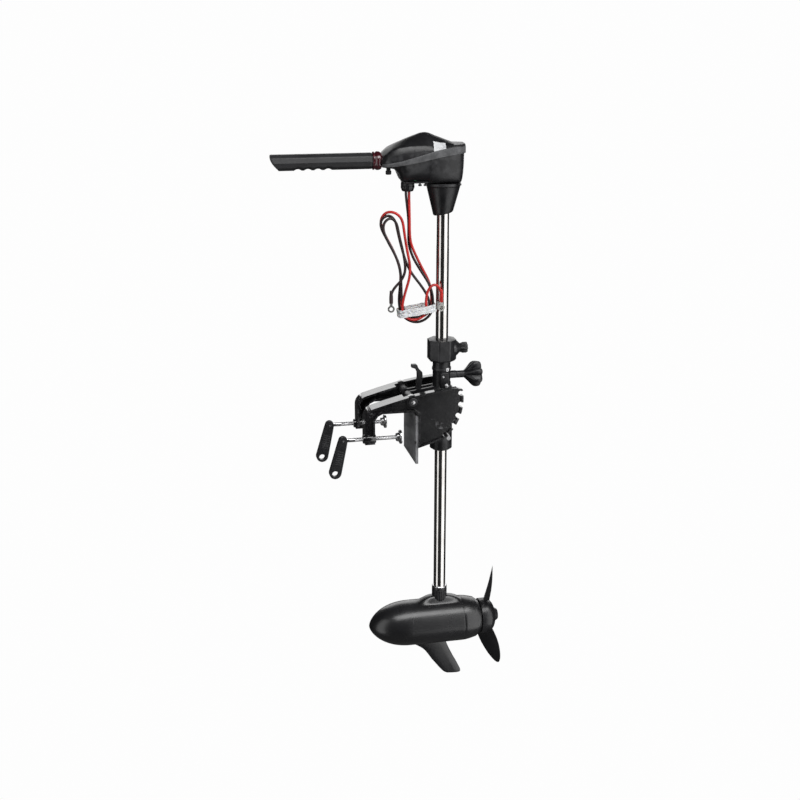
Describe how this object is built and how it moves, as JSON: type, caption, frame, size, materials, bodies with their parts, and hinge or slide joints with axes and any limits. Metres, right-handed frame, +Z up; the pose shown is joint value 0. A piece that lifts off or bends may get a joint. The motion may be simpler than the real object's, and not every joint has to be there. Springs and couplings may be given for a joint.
{
  "type": "trolling motor",
  "caption": "Transom-mount electric trolling motor with a telescoping twist tiller, tilting clamp bracket, sliding shaft and propeller pod.",
  "frame": {"origin": "on the clamp bracket's transom face, midway between the side castings, at clamp screw height", "axes": "+Z up along the shaft, +X aft towards the propeller, +Y to port side of the bracket seen from the boat facing aft"},
  "size_m": [0.5309, 0.156, 1.3315],
  "materials": {
    "gloss_black_casting": "gloss",
    "grey_plate": "satin",
    "black_plastic": "satin",
    "grey_trim": "satin",
    "grip_plastic": "satin",
    "dark_red_ring": "gloss",
    "pale_label": "satin",
    "stainless_shaft": "polished",
    "chrome_hardware": "polished",
    "steel_hardware": "brushed",
    "pod_paint": "satin",
    "prop_plastic": "satin",
    "acetal_bush": "matte",
    "circuit_green": "satin",
    "magnet_grey": "matte",
    "copper_winding": "lacquered",
    "bronze_bearing": "oiled",
    "seal_rubber": "matte",
    "black_insulation": "satin",
    "red_insulation": "satin",
    "white_tie": "matte",
    "tinned_lug": "satin"
  },
  "bodies": {
    "clamp_bracket": {"side_casting_left": "gloss_black_casting", "side_casting_right": "gloss_black_casting", "transom_plate": "grey_plate", "plate_screws": "steel_hardware", "pivot_bolt": "chrome_hardware", "pivot_nut": "chrome_hardware"},
    "swivel": {"swivel_sleeve": "black_plastic", "upper_bush": "acetal_bush", "lower_bush": "acetal_bush", "lever_pin": "steel_hardware", "lever_spring": "steel_hardware"},
    "tilt_lever": {"tilt_lever": "black_plastic"},
    "lock_yoke": {"lock_yoke": "steel_hardware"},
    "tension_knob": {"tension_knob": "black_plastic", "tension_stud": "chrome_hardware"},
    "depth_collar": {"depth_collar": "black_plastic"},
    "collar_knob": {"collar_knob": "black_plastic"},
    "motor": {"shaft_tube": "stainless_shaft", "shaft_socket": "black_plastic", "lower_housing": "black_plastic", "trim_band": "grey_trim", "top_cover": "black_plastic", "cover_screws": "steel_hardware", "label_plate": "pale_label", "control_board": "circuit_green", "gland_body": "black_plastic", "gland_nut": "black_plastic", "coupling_nut": "black_plastic", "pod_body": "pod_paint", "nose_cone": "pod_paint", "rear_cap": "pod_paint", "skeg": "pod_paint", "magnets": "magnet_grey", "pod_bearings": "bronze_bearing", "shaft_seal": "seal_rubber", "black_lead": "black_insulation", "red_lead": "red_insulation", "black_hank": "black_insulation", "red_hank": "red_insulation", "lead_tie": "white_tie", "black_terminal": "tinned_lug", "red_terminal": "tinned_lug"},
    "lock_button": {"lock_button": "black_plastic"},
    "tiller_twist": {"tiller_tube": "stainless_shaft", "tiller_ring": "dark_red_ring"},
    "tiller_grip": {"tiller_grip": "grip_plastic"},
    "propeller": {"propeller": "prop_plastic", "prop_washer": "chrome_hardware", "prop_nut": "chrome_hardware", "drive_pin": "steel_hardware", "motor_shaft": "steel_hardware", "armature": "copper_winding"},
    "clamp_pad_left": {"clamp_pad_left": "chrome_hardware"},
    "clamp_screw_left": {"clamp_screw_left": "chrome_hardware", "handle_pins_left": "steel_hardware"},
    "clamp_handle_left": {"clamp_handle_left": "black_plastic"},
    "clamp_pad_right": {"clamp_pad_right": "chrome_hardware"},
    "clamp_screw_right": {"clamp_screw_right": "chrome_hardware", "handle_pins_right": "steel_hardware"},
    "clamp_handle_right": {"clamp_handle_right": "black_plastic"}
  },
  "joints": [
    {"name": "tilt", "type": "hinge", "parent": "clamp_bracket", "child": "swivel", "pos_m": [-0.007, 0, 0.083], "axis": [0, -1, 0], "range_deg": [0, 72]},
    {"name": "lever_pull", "type": "hinge", "parent": "swivel", "child": "tilt_lever", "pos_m": [0.02572, 0, 0.0797], "axis": [0, -1, 0], "range_deg": [-23.17, 0]},
    {"name": "yoke_slide", "type": "slide", "parent": "swivel", "child": "lock_yoke", "axis": [0.6756, 0, -0.7373], "range_m": [-0.0105, 0]},
    {"name": "tension_turn", "type": "hinge", "parent": "swivel", "child": "tension_knob", "pos_m": [0.16, 0, 0.124], "axis": [1, 0, 0], "range_deg": [-180, 360]},
    {"name": "steer", "type": "hinge", "parent": "swivel", "child": "depth_collar", "pos_m": [0.075, 0, 0.16], "axis": [0, 0, 1], "range_deg": [-180, 180]},
    {"name": "collar_turn", "type": "hinge", "parent": "depth_collar", "child": "collar_knob", "pos_m": [0.12, 0, 0.187], "axis": [1, 0, 0], "range_deg": [-180, 360]},
    {"name": "depth_slide", "type": "slide", "parent": "depth_collar", "child": "motor", "axis": [0, 0, 1], "range_m": [-0.03, 0.33]},
    {"name": "lock_press", "type": "slide", "parent": "motor", "child": "lock_button", "axis": [0, 0, 1], "range_m": [0, 0.003], "stiffness_N_per_m": 400, "springref_m": -0.003},
    {"name": "speed_twist", "type": "hinge", "parent": "motor", "child": "tiller_twist", "pos_m": [-0.1, 0, 0.618], "axis": [-1, 0, 0], "range_deg": [-90, 90]},
    {"name": "tiller_extend", "type": "slide", "parent": "tiller_twist", "child": "tiller_grip", "axis": [-1, 0, 0], "range_m": [0, 0.15]},
    {"name": "prop_spin", "type": "hinge", "parent": "motor", "child": "propeller", "pos_m": [0.19, 0, -0.503], "axis": [1, 0, 0], "continuous": true},
    {"name": "clamp_travel_left", "type": "slide", "parent": "clamp_bracket", "child": "clamp_pad_left", "axis": [1, 0, 0], "range_m": [-0.034, 0.034]},
    {"name": "clamp_turn_left", "type": "hinge", "parent": "clamp_pad_left", "child": "clamp_screw_left", "pos_m": [-0.1, 0.06, 0], "axis": [1, 0, 0], "range_deg": [-6120, 6120]},
    {"name": "handle_fold_left", "type": "hinge", "parent": "clamp_screw_left", "child": "clamp_handle_left", "pos_m": [-0.18, 0.06, 0], "axis": [0, 1, 0], "range_deg": [-14, 76]},
    {"name": "clamp_travel_right", "type": "slide", "parent": "clamp_bracket", "child": "clamp_pad_right", "axis": [1, 0, 0], "range_m": [-0.046, 0.022]},
    {"name": "clamp_turn_right", "type": "hinge", "parent": "clamp_pad_right", "child": "clamp_screw_right", "pos_m": [-0.1, -0.06, 0], "axis": [1, 0, 0], "range_deg": [-8280, 3960]},
    {"name": "handle_fold_right", "type": "hinge", "parent": "clamp_screw_right", "child": "clamp_handle_right", "pos_m": [-0.168, -0.06, 0], "axis": [0, 1, 0], "range_deg": [-14, 76]}
  ],
  "couplings": [
    {"joint": "lever_pull", "follows": "yoke_slide", "rad_per_m": 38.462},
    {"joint": "clamp_turn_left", "follows": "clamp_travel_left", "rad_per_m": 3141.6},
    {"joint": "clamp_turn_right", "follows": "clamp_travel_right", "rad_per_m": 3141.6}
  ]
}
